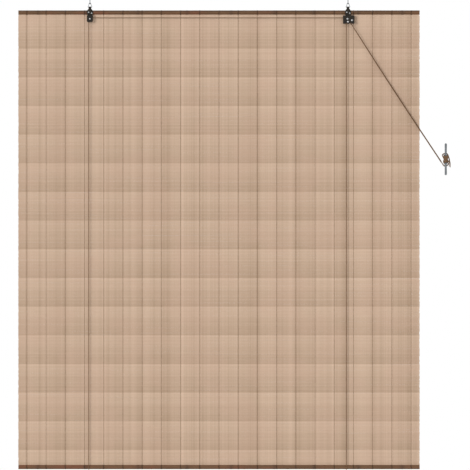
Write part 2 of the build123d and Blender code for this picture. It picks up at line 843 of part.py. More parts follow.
body_top = shoulder_z + body_overlap
pulley_body = body_outline(pulley_left, pulley_right, body_top, pulley_bottom + body_overlap, pulley_corner)
write(
    make_back_plate(-hook_x, pulley_ear_radius, pulley_body, pulley_bottom, pulley_pins),
    "pulley_back_plate",
)
write(
    make_front_plate(
        -hook_x, pulley_ear_radius, pulley_left, pulley_right, pulley_bottom,
        [pulley_window, *pulley_chamfers], pulley_pins
    ),
    "pulley_front_plate",
)
write(make_sheave(-hook_x, [0], groove_flare), "pulley_sheave")
write(make_axle(-hook_x, sheave_z, pulley_axle_head), "pulley_axle")
write(make_rivets(-hook_x), "pulley_rivets")

lock_body = body_outline(-lock_left, lock_right, body_top, lock_bottom + lock_back_lift, lock_corner)
write(make_back_plate(hook_x, lock_ear_radius, lock_body, lock_bottom, lock_pins), "lock_back_plate")
write(
    make_front_plate(
        hook_x, lock_ear_radius, -lock_left, lock_right, lock_bottom,
        [lock_window, *lock_notches], lock_pins
    ),
    "lock_front_plate",
)
twin_centres = [-twin_spacing / 2, twin_spacing / 2]
write(make_sheave(lock_sheave_x, twin_centres, 0.0), "lock_sheave")
write(make_guide_roller(hook_x + guide_x, guide_z), "lock_guide_roller")
write(make_cam(hook_x + cam_x, cam_z), "lock_cam")
write(make_axle(lock_sheave_x, sheave_z, lock_axle_head), "lock_sheave_axle")
write(make_axle(hook_x + guide_x, guide_z, lock_axle_head), "lock_guide_axle")
write(make_axle(hook_x + cam_x, cam_z, lock_axle_head), "lock_cam_pin")
write(make_rivets(hook_x), "lock_rivets")
write(make_washers(), "rivet_washers")

for side, name in ((-1, "left"), (1, "right")):
    write(make_screw_hook(side * hook_x), f"screw_hook_{name}")
    write(make_ring(side * hook_x), f"hanging_ring_{name}")

write(staples, "cord_staples")
write(make_knots(), "cord_knots")
write(make_lift_cord_left(), "lift_cord_left")
write(make_lift_cord_right(), "lift_cord_right")
pull_y = wall_y - cleat_height + cleat_bar_thickness + cord_diameter
write(make_pull_cord(groove_front, pull_y - twin_spacing / 2, 1, "pull_cord_left"), "pull_cord_left")
write(make_pull_cord(groove_back, pull_y + twin_spacing / 2, -1, "pull_cord_right"), "pull_cord_right")
write(make_cleat(), "cleat")
write(make_cleat_screws(), "cleat_screws")
write(make_winding(), "cord_winding")
write(make_tail(), "cord_tail")
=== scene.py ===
import math
import random

import bmesh
import bpy
from mathutils import Matrix, Vector


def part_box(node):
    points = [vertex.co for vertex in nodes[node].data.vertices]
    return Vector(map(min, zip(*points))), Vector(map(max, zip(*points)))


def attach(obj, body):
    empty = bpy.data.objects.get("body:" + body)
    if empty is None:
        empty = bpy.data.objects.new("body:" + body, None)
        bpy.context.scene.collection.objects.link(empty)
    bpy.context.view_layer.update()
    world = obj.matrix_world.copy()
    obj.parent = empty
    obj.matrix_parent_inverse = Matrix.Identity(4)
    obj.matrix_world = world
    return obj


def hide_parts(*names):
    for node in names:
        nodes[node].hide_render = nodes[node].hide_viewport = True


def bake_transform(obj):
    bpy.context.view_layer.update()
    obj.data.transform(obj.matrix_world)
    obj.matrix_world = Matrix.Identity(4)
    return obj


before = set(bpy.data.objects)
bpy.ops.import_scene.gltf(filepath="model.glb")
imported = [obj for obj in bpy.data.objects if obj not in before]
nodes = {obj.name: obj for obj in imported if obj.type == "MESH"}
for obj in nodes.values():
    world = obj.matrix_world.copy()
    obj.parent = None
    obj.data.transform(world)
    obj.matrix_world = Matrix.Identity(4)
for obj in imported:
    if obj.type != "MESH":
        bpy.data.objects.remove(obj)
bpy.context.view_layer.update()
print("frame loaded:", len(nodes), "nodes")

# Sizes shared by several pieces. The mat's levels are read from the frame
matLow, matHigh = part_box("mat")
headTop, footBottom = matHigh.z, matLow.z
matMiddle = (matLow.y + matHigh.y) / 2
matWide, matThick = 1.4, 0.002
matFront, matBack = matMiddle - matThick / 2, matMiddle + matThick / 2
battenHalf = 0.00725
headMiddle, footMiddle = headTop - battenHalf, footBottom + battenHalf
cleatMiddle = Vector((0.7905, 0.0, -0.5666))
sharpAngle = 0.7  # radians between two faces, from which their edge stays sharp
tiny = 1e-6  # metres: a shorter length counts as none


def place(mesh, name, body, finish, replaced=()):
    mesh.polygons.foreach_set("use_smooth", [True] * len(mesh.polygons))
    mesh.set_sharp_from_angle(angle=sharpAngle)
    piece = bpy.data.objects.new(name, mesh)
    bpy.context.scene.collection.objects.link(piece)
    mesh.materials.clear()
    mesh.materials.append(finish)
    if body:
        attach(piece, body)
    if replaced:
        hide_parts(*replaced)
    return piece


def meshFrom(bm, name):
    mesh = bpy.data.meshes.new(name)
    bm.to_mesh(mesh)
    bm.free()
    return mesh


# Threads and cords are round paths along a curve, made into a mesh
def newCurve(name, thick, facets):
    curve = bpy.data.curves.new(name, "CURVE")
    curve.dimensions = "3D"
    curve.bevel_depth = thick
    curve.bevel_resolution = facets
    curve.use_fill_caps = True
    return curve


def addPath(curve, points, kind="POLY"):
    spline = curve.splines.new(kind)
    spline.points.add(len(points) - 1)
    for point, spot in zip(spline.points, points):
        point.co = (*spot, 1.0)
    return spline


def curveMesh(curve, name):
    holder = bpy.data.objects.new(name, curve)
    mesh = bpy.data.meshes.new_from_object(holder)
    bpy.data.objects.remove(holder)
    bpy.data.curves.remove(curve)
    mesh.name = name
    return mesh


# Camera: the photo's own frame, 470 by 470 pixels, square on to the blind
cameraView = {"place": (0.0559, -20.505, -0.8306), "sensor": 36.0, "lens": 450.3}


def makeCamera(v):
    data = bpy.data.cameras.new("camera")
    data.sensor_width = v["sensor"]
    data.lens = v["lens"]
    camera = bpy.data.objects.new("camera", data)
    camera.location = v["place"]
    camera.rotation_euler = (math.radians(90), 0, 0)
    bpy.context.scene.collection.objects.link(camera)
    bpy.context.scene.camera = camera


makeCamera(cameraView)
print("camera placed")


# Shader maths as expressions
class Value:
    def __init__(self, finish, socket):
        self.finish = finish
        self.socket = socket

    def calc(self, operation, *values):
        return self.finish.node("Math", {"operation": operation}, dict(enumerate(values)))

    def __add__(self, other):
        return self.calc("ADD", self, other)

    def __sub__(self, other):
        return self.calc("SUBTRACT", self, other)

    def __rsub__(self, other):
        return self.calc("SUBTRACT", other, self)

    def __mul__(self, other):
        return self.calc("MULTIPLY", self, other)

    def __truediv__(self, other):
        return self.calc("DIVIDE", self, other)

    def __pow__(self, other):
        return self.calc("POWER", self, other)

    def floor(self):
        return self.calc("FLOOR", self)

    def fract(self):
        return self.calc("FRACT", self)

    def atMost(self, limit):
        return self.calc("MINIMUM", self, limit)

    def clamped(self):
        return self.finish.node("Clamp", {}, {"Value": self})

    def over(self, low, high):  # 0 up to low, 1 from high, smooth between
        settings = {"interpolation_type": "SMOOTHSTEP"}
        return self.finish.node("MapRange", settings, {"Value": self, "From Min": low, "From Max": high})


class Finish:
    def __init__(self, name, **constants):
        self.material = bpy.data.materials.new(name)
        self.material.use_nodes = True
        self.tree = self.material.node_tree
        self.shader = self.tree.nodes["Principled BSDF"]
        for key, value in constants.items():
            self.shader.inputs[key.replace("_", " ")].default_value = value

    def node(self, kind, settings, sockets, out=0):
        made = self.tree.nodes.new("ShaderNode" + kind)
        for key, value in settings.items():
            setattr(made, key, value)
        for key, value in sockets.items():
            self.feed(made.inputs[key], value)
        return Value(self, made.outputs[out])

    def feed(self, socket, value):
        if isinstance(value, Value):
            self.tree.links.new(value.socket, socket)
        else:
            socket.default_value = value

    def at(self):  # the point on the object, in metres
        return self.node("TexCoord", {}, {}, "Object")

    def along(self, axis):
        return self.node("SeparateXYZ", {}, {0: self.at()}, axis)

    def noise(self, where, scale, detail, rough=0.5):
        sockets = {"Vector": where, "Scale": scale, "Detail": detail, "Roughness": rough}
        return self.node("TexNoise", {}, sockets)

    def grain(self, scale, detail, rough=0.5):  # noise with a scale of its own along each axis
        where = self.node("Mapping", {}, {"Vector": self.at(), "Scale": scale})
        return self.noise(where, 1.0, detail, rough)

    def random(self, number):
        return self.node("TexWhiteNoise", {"noise_dimensions": "1D"}, {"W": number})

    def mix(self, share, first, second):
        return self.node("Mix", {"data_type": "RGBA"}, {0: share, 6: first, 7: second}, 2)

    def bump(self, height, strength, distance):
        return self.node("Bump", {}, {"Height": height, "Strength": strength, "Distance": distance})

    def put(self, **links):
        for key, value in links.items():
            self.feed(self.shader.inputs[key.replace("_", " ")], value)
        return self.material


def colour(red, green, blue):  # a colour as the eye reads it, 0 to 255, made linear
    def linear(v):
        share = v / 255
        return share / 12.92 if share <= 0.04045 else ((share + 0.055) / 1.055) ** 2.4

    return (linear(red), linear(green), linear(blue), 1.0)


# Cords: twisted from three strands. The points are the route's, in metres
cordLook = {
    "diameter": 0.0028, "strands": 3, "strand": 0.00074, "facets": 1, "lay": 0.0095, "step": 0.00095,
    "order": 3, "finer": 12,
    "dark": (104, 79, 57), "light": (141, 111, 84), "worn": (121, 94, 70),
}


def routeLine(points, v):
    curve = newCurve("route", 0.0, 0)
    spline = addPath(curve, points, "NURBS")
    spline.order_u = v["order"]
    spline.use_endpoint_u = True
    spline.resolution_u = v["finer"]
    mesh = curveMesh(curve, "route")
    line = [vert.co.copy() for vert in mesh.vertices]
    bpy.data.meshes.remove(mesh)
    return line


def evenly(line, step):
    lengths = [0.0]
    for a, b in zip(line, line[1:]):
        lengths.append(lengths[-1] + (b - a).length)
    count = max(2, round(lengths[-1] / step))
    points, i = [], 0
    for k in range(count + 1):
        goal = lengths[-1] * k / count
        while i < len(line) - 2 and lengths[i + 1] < goal:
            i += 1
        share = (goal - lengths[i]) / max(lengths[i + 1] - lengths[i], tiny)
        points.append(line[i].lerp(line[i + 1], share))
    return points, lengths[-1]


def twisted(name, points, v):
    line, length = evenly(routeLine(points, v), v["step"])
    side = Vector((1, 0, 0))
    frames = []
    for i, here in enumerate(line):
        ahead = line[min(i + 1, len(line) - 1)] - line[max(i - 1, 0)]
        ahead.normalize()
        side = side - ahead * side.dot(ahead)
        if side.length < tiny:
            side = ahead.orthogonal()
        side.normalize()
        frames.append((here, side.copy(), ahead.cross(side)))
    radius = v["diameter"] / 2 - v["strand"]
    turn = math.tau * length / v["lay"] / (len(line) - 1)
    curve = newCurve(name, v["strand"], v["facets"])
    for strand in range(v["strands"]):
        path = []
        for i, (here, out, across) in enumerate(frames):
            angle = i * turn + strand * math.tau / v["strands"]
            path.append(here + (out * math.cos(angle) + across * math.sin(angle)) * radius)
        addPath(curve, path)
    return curveMesh(curve, name), line, length


def cordFinish(name, v):
    f = Finish(name, Roughness=0.85, Specular_IOR_Level=0.25)
    fine = f.grain((900, 900, 900), 3.0)
    slow = f.grain((14, 14, 14), 2.0)
    tone = f.mix(fine.over(0.3, 0.7), colour(*v["dark"]), colour(*v["light"]))
    tone = f.mix(slow.over(0.35, 0.65), tone, colour(*v["worn"]))
    return f.put(Base_Color=tone, Normal=f.bump(fine, 0.5, 0.0002))


# Lift cords: down the back from the staple, under the foot, up the front and into the fittings
liftLook = {
    "left": -0.45385, "right": 0.4442, "aside": 0.010, "back": 0.0089, "front": -0.0083,
    "knot": -0.0546, "top": -0.07345, "under": -1.6489, "footEase": 0.0168, "sheaveEase": 0.0077,
    "backLean": 0.0001, "frontLean": 0.00004, "grooveLean": 0.00002, "pulleyGroove": -0.0122,
}
# The lock's two grooves, and the way of a cord through it: onto its sheave, past the cam, out at its mouth
lockLook = {
    "frontGroove": -0.0137, "backGroove": -0.0107, "enterX": 0.4430, "topX": 0.450754, "ease": 0.0045,
    "pinch": (0.4553, -0.08605), "mouth": (0.45926, -0.09205),
}
# The knot above each staple that keeps a cord's upper end, behind the head
knotLook = {"wide": 0.00088, "deep": 0.00156, "points": 60}


def liftRoute(x, grooveY, v):
    back, front, under = v["back"], v["front"], v["under"]
    return [
        (x - v["aside"], back, v["knot"]),
        (x - v["backLean"], back, under + v["footEase"]),
        (x, back, under),
        (x, front, under),
        (x, front - v["frontLean"], under + v["footEase"]),
        (x, grooveY + v["grooveLean"], v["top"] - v["sheaveEase"]),
        (x, grooveY, v["top"]),
    ]


def lockRoute(grooveY, v):
    pinchX, pinchZ = v["pinch"]
    mouthX, mouthZ = v["mouth"]
    top = Vector((v["topX"], grooveY, liftLook["top"]))
    pinch = Vector((pinchX, grooveY, pinchZ))
    return [
        (v["topX"], grooveY, liftLook["top"]),
        top + (pinch - top).normalized() * v["ease"],
        (pinchX, grooveY, pinchZ),
        (mouthX, grooveY, mouthZ),
    ]


def makeKnot(name, x, v, finish):
    low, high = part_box("cord_knots")
    centre = Vector((x - liftLook["aside"], liftLook["back"], (low.z + high.z) / 2))
    route = []
    for i in range(v["points"] + 1):
        t = math.tau * i / v["points"]
        route.append(centre + Vector(((math.sin(t) + 2 * math.sin(2 * t)) * v["wide"],
                                      math.sin(3 * t) * v["deep"],
                                      (math.cos(t) - 2 * math.cos(2 * t)) * v["wide"])))
    mesh = twisted(name, route, cordLook)[0]
    return place(mesh, name, "blind", finish, ["cord_knots"])


def makeLiftCord(name, points, finish, replaced):
    mesh, line, length = twisted(name, points, cordLook)
    piece = place(mesh, name, "blind", finish, replaced)
    print(name, round(length, 3), "m")


cordMaterial = cordFinish("cordFinish", cordLook)
leftX, rightX = liftLook["left"], liftLook["right"]
frontGroove, backGroove = lockLook["frontGroove"], lockLook["backGroove"]
knotLeft = makeKnot("cordKnotLeft", leftX, knotLook, cordMaterial)
knotRight = makeKnot("cordKnotRight", rightX, knotLook, cordMaterial)
crossing = [
    (leftX + liftLook["sheaveEase"], liftLook["pulleyGroove"], liftLook["top"]),
    (lockLook["enterX"], frontGroove, liftLook["top"]),
]
leftRoute = liftRoute(leftX, liftLook["pulleyGroove"], liftLook) + crossing + lockRoute(frontGroove, lockLook)
rightRoute = liftRoute(rightX, backGroove, liftLook) + lockRoute(backGroove, lockLook)
makeLiftCord("liftCordLeft", leftRoute, cordMaterial, ["lift_cord_left"])
makeLiftCord("liftCordRight", rightRoute, cordMaterial, ["lift_cord_right"])


# Pull cords: from the lock to the cleat, side by side. On the cleat one wide loose turn, then
# figure-eights, then the loose end. The points of these three are from the cleat's middle
pullLook = {
    "begin": 0.0003, "leave": 0.017, "near": 0.010, "sag": 0.0025, "end": (-0.0163, -0.0074, -0.0082),
    "stagger": 0.0012, "runApart": 0.74, "leaveApart": 0.6, "wideApart": 0.6, "tailApart": 1.3,
    "tailDrop": 0.0004, "tailFront": 1.6,
    "eights": 3, "spacing": 0.0042, "front": -0.0182, "rise": 0.0027, "behind": -0.0086, "deep": 0.0026,
    "pair": 0.0014, "corner": (0.0080, -0.0125, 0.0120), "under": (0.0040, 0.0150), "slant": (0.0036, 0.0074),
    "wide": ((-0.0092, 0.0, -0.0188), (-0.0036, 0.0, -0.0246), (0.0052, 0.0, -0.0224), (0.0134, -0.001, -0.0116),
             (0.0136, -0.001, -0.0030), (0.0088, 0.0, 0.0138), (0.0042, 0.0, 0.0208), (-0.0056, 0.0, 0.0202),
             (-0.0136, -0.004, 0.0138)),
    "loose": ((0.0120, -0.0150, -0.0050), (0.0138, -0.0168, -0.0130), (0.0140, -0.0166, -0.0195),
              (0.0138, -0.0162, -0.0256)),
}


def slantedRun(down, apart, y, v):  # the part of an eight that crosses in front, left to right
    runX, runZ = v["slant"]
    across = Vector((runZ, 0, runX)).normalized() * apart
    if not down:
        across.z = -across.z
    fall = -1 if down else 1
    return [Vector((-runX, y, -fall * runZ)) + across, Vector((runX, y, fall * runZ)) + across]


def eightTurn(turn, side, v):  # one figure-eight, from the upper left corner and back there
    cornerX, cornerY, cornerZ = v["corner"]
    underX, underZ = v["under"]
    apart = side * v["pair"] + (turn - (v["eights"] - 1) / 2) * v["spacing"]
    front = v["front"] - 0.5 * v["rise"] * turn
    behind = v["behind"] + v["deep"] * (2 * turn + (side + 1) / 2)
    points = slantedRun(True, apart, front, v)
    for end in (-1, 1):
        points += [Vector((cornerX, cornerY, end * cornerZ)), Vector((underX, behind, end * underZ)),
                   Vector((-underX, behind, end * underZ)), Vector((-cornerX, cornerY, end * cornerZ))]
        if end < 0:
            points += slantedRun(False, apart, front - v["rise"], v)
    return points


def pullRoute(grooveY, side, v):
    mouthX, mouthZ = lockLook["mouth"]
    endX, endY, endZ = v["end"]
    endY += (side + 1) * v["stagger"]
    start = Vector((mouthX, grooveY, mouthZ))
    end = cleatMiddle + Vector((endX, endY, endZ))
    run = (end - start).normalized()
    beside = Vector((-run.z, 0, run.x)).normalized() * side * v["pair"] * v["runApart"]
    sag = Vector((run.z, 0, -run.x)).normalized() * v["sag"]
    first = start + run * v["begin"]
    points = [first, first + run * v["leave"] + beside * v["leaveApart"], (first + end) / 2 + beside + sag,
              end - run * v["near"] + beside, end + beside]
    for x, y, z in v["wide"]:
        outward = Vector((x, 0, z)).normalized() * side * v["pair"] * v["wideApart"]
        points.append(cleatMiddle + Vector((x, endY + y, z)) + outward)
    for turn in range(v["eights"]):
        points += [cleatMiddle + p for p in eightTurn(turn, side, v)]
    tailY = v["front"] - v["tailFront"] * v["rise"]
    points += [cleatMiddle + p for p in slantedRun(True, side * v["pair"], tailY, v)]
    for i, (x, y, z) in enumerate(v["loose"]):
        drop = (side + 1) * v["tailDrop"] * i
        points.append(cleatMiddle + Vector((x + side * v["pair"] * v["tailApart"], y, z - drop)))
    return points


def makePullCord(name, side, finish, replaced):
    grooveY = frontGroove if side < 0 else backGroove
    mesh, line, length = twisted(name, pullRoute(grooveY, side, pullLook), cordLook)
    piece = place(mesh, name, None, finish, replaced)
    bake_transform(piece)
    print(name, round(length, 3), "m")


makePullCord("pullCordLeft", -1, cordMaterial, ["pull_cord_left", "cord_winding"])
makePullCord("pullCordRight", 1, cordMaterial, ["pull_cord_right", "cord_tail"])
print("cords made")


# Mat: split bamboo splints that lie edge to edge, each a little different
splintLook = {
    "pitch": 0.005, "cut": 0.00045, "pieces": 6, "sawn": 0.69, "ragged": 0.0012, "proud": 0.00008,
    "wave": 0.00008, "seed": 31,
    "bandLimit": -0.0805, "bandShift": 0.0804, "bandHeight": 0.1, "perBand": 20, "ownShift": 7.3,
    "rampShare": 0.34, "ownShare": 0.06, "repeatedShare": 0.07, "fibreShare": 0.18, "base": 0.33,
    # scale, detail, roughness and share of the stripes that run the whole height
    "stripes": ((13.0, 2.0, 0.5, 0.85), (42.0, 2.0, 0.5, 0.70), (170.0, 3.0, 0.6, 0.65)),
    "light": (221, 193, 169), "dark": (166, 139, 114), "warm": (203, 169, 148),
}


def longEdges(bm):
    return [e for e in bm.edges if abs(e.verts[0].co.x - e.verts[1].co.x) > matWide / 2]


def splintPattern(v):
    bm = bmesh.new()
    bmesh.ops.create_cube(bm, size=1.0)
    bmesh.ops.scale(bm, vec=(matWide, matThick, v["pitch"]), verts=bm.verts)
    bmesh.ops.bevel(bm, geom=longEdges(bm), offset=v["cut"], segments=1, profile=0.5, affect="EDGES",
                    material=-1)
    bmesh.ops.subdivide_edges(bm, edges=longEdges(bm), cuts=v["pieces"] - 1, use_grid_fill=True)
    return meshFrom(bm, "pattern")


def makeSplints(name, v, finish):
    chance = random.Random(v["seed"])
    pattern = splintPattern(v)
    bm = bmesh.new()
    for i in range(round((headTop - footBottom) / v["pitch"])):
        known = len(bm.verts)
        bm.from_mesh(pattern)
        bm.verts.ensure_lookup_table()
        middle = headTop - (i + 0.5) * v["pitch"]
        depth = chance.uniform(-1, 1) * v["proud"]
        trims = [chance.random() ** 2 * v["ragged"] for end in (0, 1)]
        bends = {}
        for vert in bm.verts[known:]:
            station = round(vert.co.x, 3)
            if station not in bends:
                bends[station] = (chance.uniform(-1, 1) * v["wave"], chance.uniform(-1, 1) * v["wave"])
            out, up = bends[station]
            if abs(vert.co.x) > v["sawn"]:
                vert.co.x -= math.copysign(trims[0] if vert.co.x > 0 else trims[1], vert.co.x)
            vert.co.y += matMiddle + depth + out
            vert.co.z += middle + up
    bpy.data.meshes.remove(pattern)
    place(meshFrom(bm, name), name, "blind", finish, ["mat"])


def splintFinish(name, v):
    f = Finish(name, Roughness=0.62, Specular_IOR_Level=0.3)
    across, up = f.along(0), f.along(2)
    number = ((headTop - up) / v["pitch"]).floor()
    # the tone darkens down each band and starts light again, and the band under the head is longer
    ramp = ((up.atMost(v["bandLimit"]) + v["bandShift"]) / -v["bandHeight"]).fract()
    own = f.random(number + v["ownShift"])
    repeated = f.random((number * (1 / v["perBand"])).fract() * v["perBand"] + 0.5)
    stripes = f.node("CombineXYZ", {}, {0: across})
    fibre = f.grain((30, 400, 900), 3.0)
    shares = [(own, v["ownShare"]), (repeated, v["repeatedShare"])]
    shares += [(f.noise(stripes, scale, detail, rough), share) for scale, detail, rough, share in v["stripes"]]
    level = ramp * v["rampShare"]
    for value, share in [*shares, (fibre, v["fibreShare"])]:
        level = level + (value - 0.5) * share
    tone = f.mix((level + v["base"]).clamped(), colour(*v["light"]), colour(*v["dark"]))
    hue = f.grain((6, 1, 9), 2.0)
    tone = f.mix(hue.over(0.42, 0.62) * 0.22, tone, colour(*v["warm"]))
    return f.put(Base_Color=tone, Normal=f.bump(fibre, 0.35, 0.0003))


makeSplints("splintMat", splintLook, splintFinish("splintFinish", splintLook))
print("mat made")


# Warp: two strands at each line that pass round every splint and cross between them
warpLook = {
    "count": 21, "edge": 0.030, "covered": 3, "thread": 0.00058, "facets": 0,
    "sway": 0.0008, "stand": 0.00142, "ease": 0.0016, "dark": (118, 92, 70), "light": (150, 123, 98),
}


def warpPlaces(v):
    step = (matWide - 2 * v["edge"]) / (v["count"] - 1)
    return [-matWide / 2 + v["edge"] + i * step for i in range(v["count"])]


def makeWarp(name, phase, v, finish):
    curve = newCurve(name, v["thread"], v["facets"])
    pitch = splintLook["pitch"]
    splints = round((headTop - footBottom) / pitch)
    for x in warpPlaces(v):
        points = []
        for i in range(v["covered"], splints - v["covered"]):
            top = headTop - i * pitch
            side = -1 if (i + phase) % 2 == 0 else 1
            face, sway = matMiddle + side * v["stand"], side * v["sway"]
            points += [(x + sway, matMiddle, top),
                       (x + sway / 2, face, top - (pitch / 2 - v["ease"])),
                       (x - sway / 2, face, top - (pitch / 2 + v["ease"]))]
        addPath(curve, points)
    place(curveMesh(curve, name), name, "blind", finish, ["warp_threads"])


def threadFinish(name, v):
    dark, light = colour(*v["dark"]), colour(*v["light"])
    f = Finish(name, Roughness=0.9, Specular_IOR_Level=0.2)
    fine = f.grain((1400, 1400, 1400), 2.0)
    slow = f.grain((20, 20, 20), 2.0)
    tone = f.mix(fine.over(0.35, 0.65), dark, light)
    tone = f.mix(slow.over(0.3, 0.7) * 0.4, tone, light)
    return f.put(Base_Color=tone, Normal=f.bump(fine, 0.4, 0.0001))


warpMaterial = threadFinish("warpFinish", warpLook)
for phase, name in enumerate(("warpStrandA", "warpStrandB")):
    makeWarp(name, phase, warpLook, warpMaterial)
print("warp made")


# Battens: half-round bamboo with its knuckles
battenLook = {
    "half": 0.00715, "depth": 0.0059, "end": 0.6995, "sides": 12, "flat": 0.01, "crown": 0.9,
    "step": 0.020, "clear": 0.0085, "uneven": 0.012, "marked": 0.02, "seed": 5,
    "front": (-0.6316, -0.4640, -0.2826, -0.1116, 0.0419, 0.1937, 0.3298, 0.4852, 0.6387),
    "back": (-0.5900, -0.4160, -0.2360, -0.0810, 0.0880, 0.2410, 0.4160, 0.5610),
    "knuckle": ((-0.0070, 1.00), (-0.0030, 1.03), (-0.0012, 1.10), (0.0, 1.04), (0.0012, 1.09), (0.0032, 1.03),
                (0.0075, 1.00)),
    # the head batten's top is painted darker, as painted shade on its rounded top: the first pair gives where
    # that band starts and ends below the top, and the last colour is that painted shade
    "edge": (0.0062, 0.0024), "dark": (90, 64, 43), "light": (124, 91, 63), "patch": (122, 74, 52),
    "speck": (56, 40, 29), "ring": (66, 46, 33), "paintedShade": (66, 50, 38),
}


def battenStations(knuckles, v):
    chance = random.Random(v["seed"])
    stations = {-v["end"]: 1.0, v["end"]: 1.0}
    x = v["step"] - v["end"]
    while x < v["end"]:
        if all(abs(x - k) > v["clear"] for k in knuckles):
            stations[x] = 1.0 + chance.uniform(-1, 1) * v["uneven"]
        x += v["step"]
    for k in knuckles:
        for shift, size in v["knuckle"]:
            stations[k + shift] = size
    return sorted(stations.items())


def makeBatten(name, replaced, flatY, side, middle, knuckles, v, finish):
    bm = bmesh.new()
    bmesh.ops.create_circle(bm, segments=2 * v["sides"], radius=1.0)
    bmesh.ops.delete(bm, geom=[p for p in bm.verts if p.co.x < -v["flat"]], context="VERTS")
    bmesh.ops.contextual_create(bm, geom=[p for p in bm.verts if abs(p.co.x) < v["flat"]])
    outward, upward = bm.verts.layers.float.new("outward"), bm.verts.layers.float.new("upward")
    mark = bm.verts.layers.float.new("knuckle")
    for p in bm.verts:
        p[outward], p[upward] = max(0.0, p.co.x) ** v["crown"], p.co.y
    ring, moved = list(bm.edges), set(bm.verts)
    bmesh.ops.contextual_create(bm, geom=ring)
    for i, (here, size) in enumerate(battenStations(knuckles, v)):
        if i > 0:
            grown = bmesh.ops.extrude_edge_only(bm, edges=ring)["geom"]
            moved = {g for g in grown if isinstance(g, bmesh.types.BMVert)}
            ring = [g for g in grown if isinstance(g, bmesh.types.BMEdge) and moved.issuperset(g.verts)]
        nearest = min(abs(here - k) for k in knuckles)
        for p in moved:
            out = side * p[outward] * v["depth"] * size
            p.co = (here, flatY + out, middle + p[upward] * v["half"] * (0.5 + 0.5 * size))
            p[mark] = max(0.0, 1 - nearest / v["marked"])
    bmesh.ops.contextual_create(bm, geom=ring)
    bmesh.ops.recalc_face_normals(bm, faces=bm.faces)
    place(meshFrom(bm, name), name, "blind", finish, [replaced])


def battenFinish(name, v):
    f = Finish(name, Roughness=0.5, Specular_IOR_Level=0.25)
    mark = f.node("Attribute", {"attribute_name": "knuckle"}, {}, "Fac")
    grain = f.grain((8, 900, 900), 4.0, 0.6)
    patch = f.grain((4.5, 20, 20), 3.0)
    speck = f.grain((160, 700, 700), 2.0)
    # painted shade: the head batten is darkened towards its top edge, standing in for the shade on its rounded
    # top
    lower, upper = v["edge"]
    paintedTopShade = f.along(2).over(headTop - lower, headTop - upper)
    tone = f.mix(grain.over(0.3, 0.72), colour(*v["dark"]), colour(*v["light"]))
    tone = f.mix(patch.over(0.45, 0.62) * 0.65, tone, colour(*v["patch"]))
    tone = f.mix(speck.over(0.58, 0.7) * 0.4, tone, colour(*v["speck"]))
    tone = f.mix(mark ** 2.0 * 0.55, tone, colour(*v["ring"]))
    tone = f.mix(paintedTopShade * 0.6, tone, colour(*v["paintedShade"]))
    return f.put(Base_Color=tone, Normal=f.bump(grain, 0.25, 0.0003))


battenMaterial = battenFinish("battenFinish", battenLook)
for name, replaced, flatY, side, middle, knuckles in (
        ("headBattenFront", "head_batten_front", matFront, -1, headMiddle, battenLook["front"]),
        ("headBattenBack", "head_batten_back", matBack, 1, headMiddle, battenLook["back"]),
        ("footBattenFront", "foot_batten_front", matFront, -1, footMiddle, battenLook["front"]),
        ("footBattenBack", "foot_batten_back", matBack, 1, footMiddle, battenLook["back"])):
    makeBatten(name, replaced, flatY, side, middle, knuckles, battenLook, battenMaterial)
print("battens made")


# Bindings: turns of thread round both battens at each warp line, tied off on the mat
bindingLook = {
    "thread": 0.00042, "facets": 0, "turns": 3, "points": 22, "pitch": 0.00095, "reach": 0.0070, "ease": 0.0003,
    "face": 0.00135, "lift": 0.0004, "from": 0.0070, "below": 0.0076, "tie": 0.0042, "slip": (0.0006, 0.0003),
    "dark": (60, 43, 32), "light": (94, 70, 52),
}


def makeBindings(name, middle, toward, v, finish, replaced):
    curve = newCurve(name, v["thread"], v["facets"])
    outY, outZ = v["reach"] + v["ease"], battenHalf + v["ease"]
    total = v["turns"] * v["points"]
    farSlip, nearSlip = v["slip"]
    for x in warpPlaces(warpLook):
        points = []
        for i in range(total + 1):
            angle = math.tau * i / v["points"]
            points.append((x + (i / total - 0.5) * v["turns"] * v["pitch"],
                           matMiddle - math.cos(angle) * outY, middle + toward * math.sin(angle) * outZ))
        addPath(curve, points)
        for face in (-1, 1):
            y = matMiddle + face * v["face"]
            addPath(curve, [(x + farSlip, y + face * v["lift"], middle + toward * v["from"]),
                            (x + nearSlip, y, middle + toward * (v["below"] + v["tie"] / 2)),
                            (x - nearSlip, y, middle + toward * (v["below"] + v["tie"]))])
    place(curveMesh(curve, name), name, "blind", finish, [replaced])


bindingMaterial = threadFinish("bindingFinish", bindingLook)
makeBindings("headBindings", headMiddle, -1, bindingLook, bindingMaterial, "head_bindings")
makeBindings("footBindings", footMiddle, 1, bindingLook, bindingMaterial, "foot_bindings")
print("bindings made")


# Finishes of the metal and plastic parts that stay as they are in the frame
def metalFinish(name, dark, light, rough, metallic, scratch, sheen=0.5, clouding=0.16):
    f = Finish(name, Metallic=metallic, Specular_IOR_Level=sheen)
    cloud = f.grain((60, 60, 60), 4.0, 0.6)
    fine = f.grain((1200, 1200, 1200), 3.0)
    tone = f.mix(cloud.over(0.3, 0.7), dark, light)
    gloss = cloud * clouding + fine * scratch + (rough - clouding / 2)
    return f.put(Base_Color=tone, Roughness=gloss, Normal=f.bump(fine, 0.12, 0.00006))


blackPaint = metalFinish("blackPaint", colour(20, 15, 10), colour(36, 30, 22), 0.5, 0.0, 0.10, 0.25)
brightSteel = metalFinish("brightSteel", colour(170, 169, 168), colour(202, 201, 200), 0.30, 0.7, 0.12)
zincWire = metalFinish("zincWire", colour(134, 137, 140), colour(170, 173, 176), 0.38, 0.6, 0.14)
castGrey = metalFinish("castGrey", colour(96, 100, 103), colour(122, 126, 129), 0.48, 0.5, 0.12)
turnedBrass = metalFinish("turnedBrass", colour(162, 126, 66), colour(194, 158, 94), 0.32, 0.8, 0.10)
paleNylon = metalFinish("paleNylon", colour(214, 211, 200), colour(228, 225, 215), 0.45, 0.0, 0.05)

